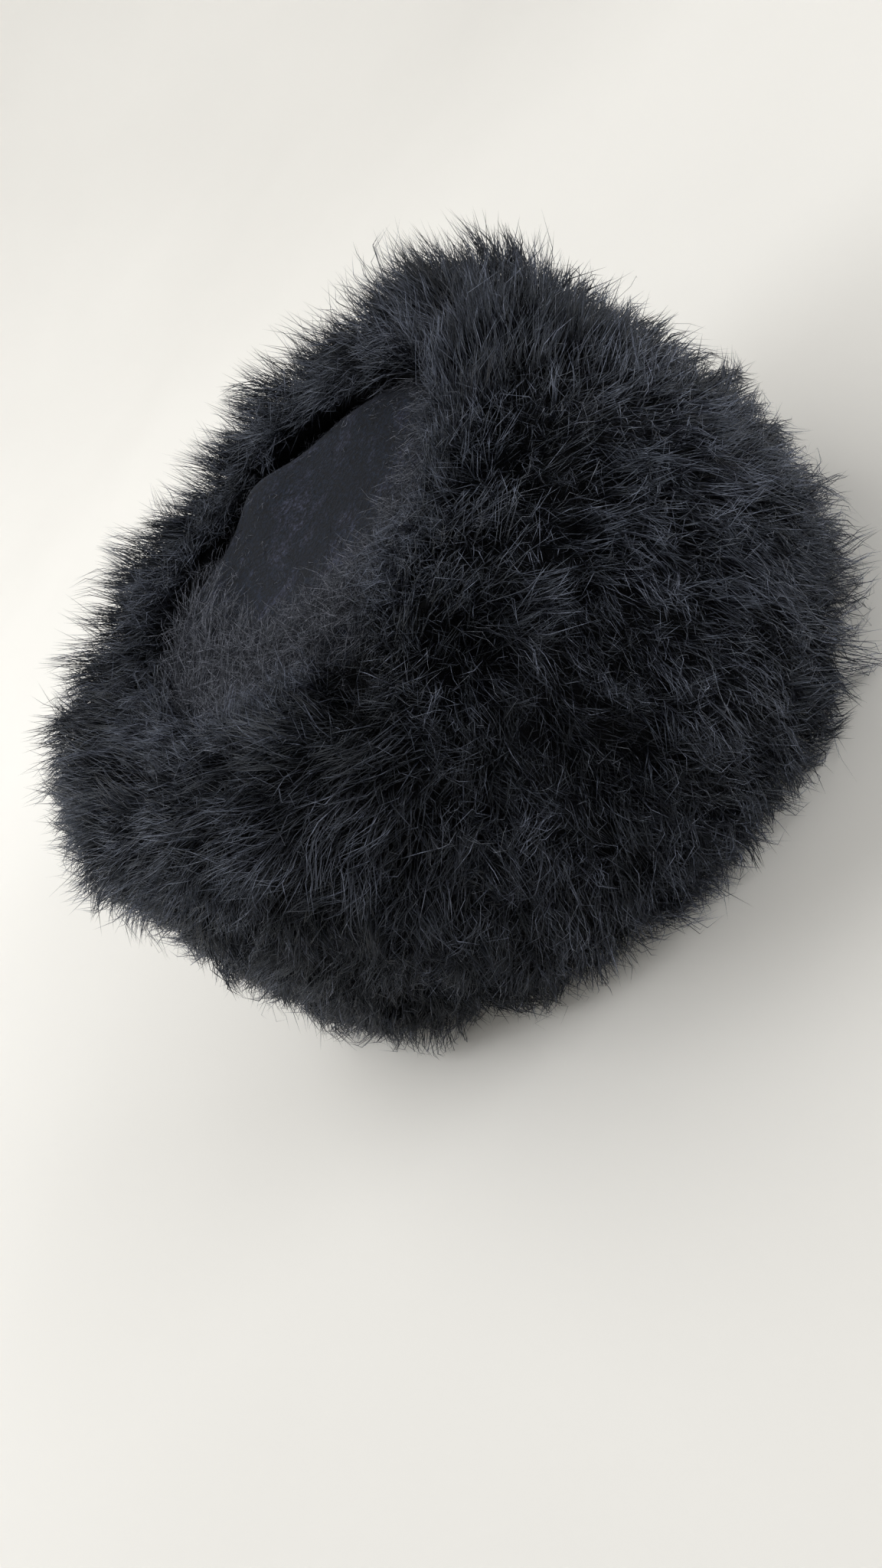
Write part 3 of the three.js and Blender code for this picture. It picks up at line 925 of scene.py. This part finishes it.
def makeFluff(s):
    rng = np.random.default_rng(s["seed"])
    count = int(s["count"] * draftShare)
    halfLength, halfWidth = crownSettings["halfLength"], crownSettings["halfWidth"]
    tries = rng.random((count * s["tries"], 3))
    turn, out = tries[:, 0] * 2 * np.pi, np.sqrt(tries[:, 1]) * s["reach"]
    x, y = halfLength * out * np.cos(turn), halfWidth * out * np.sin(turn)
    centreX, centreY, bareX, bareY = (value * mm for value in s["bare"])
    away = np.hypot((x - centreX) / bareX, (y - centreY) / bareY)
    far = easeStep(y / halfWidth, *s["farPlaces"])
    dense = easeStep(away, *s["densePlaces"]) ** s["densePower"] * (1 - s["farThinner"] * far)
    wanted = s["sparse"] * easeStep(away, *s["sparsePlaces"]) + dense
    keep = np.flatnonzero(tries[:, 2] < wanted)[:count]
    x, y, away, count = x[keep], y[keep], away[keep], len(keep)

    root = np.stack([x, y, crownHeight(x, y) - s["rootDepth"] * mm], -1)
    normal = unit(np.stack([
        crownHeight(x - mm, y) - crownHeight(x + mm, y),
        crownHeight(x, y - mm) - crownHeight(x, y + mm),
        np.full(count, 2 * mm),
    ], -1))
    tufts = centresFor(rng, root, s["tuftGap"])
    tuft = nearestOf(root, root[tufts])
    tuftRandom = rng.normal(size=(len(tufts), 2))[tuft]
    own = rng.normal(size=(count, 4))
    heading = np.arctan2(y - s["combCentre"] * mm, x) + math.pi
    heading = heading + s["tuftTurn"] * tuftRandom[:, 0] + s["strandTurn"] * own[:, 0]
    comb = np.stack([np.cos(heading), np.sin(heading), 0 * heading], -1)
    comb -= normal * (comb * normal).sum(-1)[:, None]
    swirl = s["swirl"] * (s["tuftSwirl"] * tuftRandom[:, 1] + rng.normal(size=count))
    combEnd = turned(comb, np.cross(normal, comb), swirl)
    low, high = s["length"]
    length = low + (high - low) * easeStep(away, *s["longPlaces"])
    length = length * np.clip(1 + s["lengthSpread"] * own[:, 1], *s["lengthRange"]) * mm
    lean = s["lean"] + s["tuftLean"] * tuftRandom[:, 1] + s["strandLean"] * own[:, 2]
    lean = np.radians(np.clip(lean, *s["leanRange"]))
    climb = (s["bendRise"] * length * np.sin(lean))[:, None]
    bend = root + normal * climb + comb * (s["bendShare"] * length)[:, None]
    finish = normal * np.sin(lean)[:, None] * s["endRise"] + combEnd * np.cos(lean)[:, None]
    tip = bend + finish * (s["endShare"] * length)[:, None]

    lines = bezierLines(root, bend, tip, s["stations"])
    along = np.array(s["stations"])[None, :, None]
    lines += rng.normal(size=lines.shape) * s["frizz"] * mm * along
    lines += (lines[tufts[tuft]] - lines) * along * s["tuftPull"]
    floor = crownHeight(lines[..., 0], lines[..., 1]) + s["floorGap"] * mm * along[..., 0]
    lines[:, 1:, 2] = np.maximum(lines[:, 1:, 2], floor[:, 1:])
    tone = s["middleTone"] + s["strandTone"] * own[:, 3] + s["tuftTone"] * tuftRandom[:, 0]
    hairMesh("crown_fluff", lines + hatAxis, np.clip(tone, *s["toneRange"]), s, hairMaterial(s))


makeFluff(fluffSettings)
print("fluff made")


hideSettings = {
    "wall": 0.003, "height": 0.138,
    "lift": 0.05 * mm,
    "steps": 128, "cuts": 2,
    "dent": 0.35 * mm, "dentWaves": ((7, 20), (2, 34)),     # around the tube and up it
    "rounding": 0.6 * mm, "roundingSteps": 2, "roundingAngle": 50,
    "smoothAngle": 40,
}


def hideMaterial():
    material, nodes, links, shader = newMaterial("dark_hide")
    coords = objectCoords(nodes)
    grain = addTexture(nodes, links, coords, "ShaderNodeTexVoronoi", Scale=520.0)
    stains = addTexture(
        nodes, links, coords, "ShaderNodeTexNoise", Scale=24.0, Detail=5.0, Roughness=0.6,
    )
    color = ramp(nodes, links, stains.outputs["Fac"], [
        (0.3, (0.016, 0.015, 0.015)), (0.7, (0.034, 0.032, 0.032)),
    ])
    links.new(color, shader.inputs["Base Color"])
    rough = spread(nodes, links, stains.outputs["Fac"], 0.7, 0.9)
    links.new(rough, shader.inputs["Roughness"])
    shader.inputs["Specular IOR Level"].default_value = 0.3
    addBump(nodes, links, shader, grain.outputs["Distance"], 0.4, 0.3 * mm)
    return material


def makeHide(s):
    halfLength, halfWidth = (hideHigh.x - hideLow.x) / 2, (hideHigh.y - hideLow.y) / 2
    obj = newShape(
        "hide_tube", bpy.ops.mesh.primitive_cylinder_add,
        vertices=s["steps"], radius=1, depth=s["height"], end_fill_type="NOTHING",
    )
    bpy.ops.object.mode_set(mode="EDIT")
    bpy.ops.mesh.select_all(action="SELECT")
    bpy.ops.mesh.subdivide(number_cuts=s["cuts"])
    bpy.ops.object.mode_set(mode="OBJECT")
    points = pointsOf(obj)
    turn = np.arctan2(points[:, 1], points[:, 0])
    height = points[:, 2] + s["height"] / 2
    first, second = (np.cos(around * turn + up * height) for around, up in s["dentWaves"])
    dent = s["dent"] * (1 - first * second) / 2
    dent *= np.sin(np.pi * height / s["height"])
    points = np.stack([
        (halfLength - dent) * np.cos(turn),
        (halfWidth - dent) * np.sin(turn),
        height + s["lift"],
    ], -1)
    movePoints(obj, points + hatAxis)
    applyModifier(obj, "SOLIDIFY", thickness=s["wall"], offset=-1)
    applyModifier(
        obj, "BEVEL", width=s["rounding"], segments=s["roundingSteps"],
        limit_method="ANGLE", angle_limit=math.radians(s["roundingAngle"]),
    )
    bpy.ops.object.shade_smooth_by_angle(angle=math.radians(s["smoothAngle"]))
    dress(obj, hideMaterial(), "hide_band")


makeHide(hideSettings)
makeCrown(crownSettings)
print("hide and crown made")


# A round floor that curves up into a wall
stageSettings = {
    "floorRadius": 1.0, "wallRadius": 2.3, "wallHeight": 1.6,
    "steps": 96, "curveSteps": 12,
}


def stageMaterial():
    material, nodes, links, shader = newMaterial("pale_paper")
    cloud = addTexture(
        nodes, links, objectCoords(nodes), "ShaderNodeTexNoise", Scale=2.2, Detail=3.0,
    )
    color = ramp(nodes, links, cloud.outputs["Fac"], [
        (0.3, (0.80, 0.785, 0.75)), (0.7, (0.84, 0.825, 0.79)),
    ])
    links.new(color, shader.inputs["Base Color"])
    shader.inputs["Roughness"].default_value = 0.9
    shader.inputs["Specular IOR Level"].default_value = 0.1
    return material


def makeStage(s):
    obj = newShape(
        "stage_floor", bpy.ops.mesh.primitive_circle_add,
        vertices=s["steps"], radius=s["floorRadius"], fill_type="NGON",
    )
    bpy.ops.object.mode_set(mode="EDIT")
    bpy.ops.mesh.select_mode(type="EDGE")
    bpy.ops.mesh.select_all(action="SELECT")
    bpy.ops.mesh.region_to_loop()
    radius, height = s["floorRadius"], 0.0
    for step in range(1, s["curveSteps"] + 1):
        turn = math.radians(90 * step / s["curveSteps"])
        nextRadius = s["floorRadius"] + (s["wallRadius"] - s["floorRadius"]) * math.sin(turn)
        nextHeight = s["wallHeight"] * (1 - math.cos(turn))
        bpy.ops.mesh.extrude_edges_move(
            TRANSFORM_OT_translate={"value": (0, 0, nextHeight - height)}
        )
        bpy.ops.transform.resize(
            value=(nextRadius / radius, nextRadius / radius, 1), center_override=(0, 0, nextHeight)
        )
        radius, height = nextRadius, nextHeight
    bpy.ops.mesh.select_all(action="SELECT")
    bpy.ops.mesh.normals_make_consistent(inside=True)
    bpy.ops.object.mode_set(mode="OBJECT")
    bpy.ops.object.shade_smooth()
    obj.data.materials.append(stageMaterial())


makeStage(stageSettings)


lightSettings = {
    "aim": (0, 0, 0.08),
    "lamps": [
        # name, place, size, watts, colour
        ("overhead", (-0.3, 0.9, 1.7), 1.4, 13, (1.0, 0.995, 0.98)),
        ("left_lamp", (-1.3, 0.8, 1.1), 1.0, 13, (0.97, 0.985, 1.0)),
        ("right_lamp", (1.25, -0.85, 0.36), 0.8, 20, (0.98, 0.99, 1.0)),
    ],
    "roomColor": (1.0, 0.99, 0.975),
    "roomStrength": 0.38,
}


def makeLights(s):
    for name, place, size, watts, color in s["lamps"]:
        data = bpy.data.lights.new(name, "AREA")
        data.shape = "DISK"
        data.size = size
        data.energy = watts
        data.color = color
        light = bpy.data.objects.new(name, data)
        light.location = place
        aim = Vector(s["aim"]) - Vector(place)
        light.rotation_euler = aim.to_track_quat("-Z", "Y").to_euler()
        bpy.context.scene.collection.objects.link(light)
    world = bpy.data.worlds.new("soft_room")
    world.use_nodes = True
    background = world.node_tree.nodes["Background"]
    background.inputs["Color"].default_value = (*s["roomColor"], 1)
    background.inputs["Strength"].default_value = s["roomStrength"]
    bpy.context.scene.world = world
    bpy.context.scene.view_settings.view_transform = "Standard"


makeLights(lightSettings)
print("stage and lights made")

bpy.context.view_layer.update()
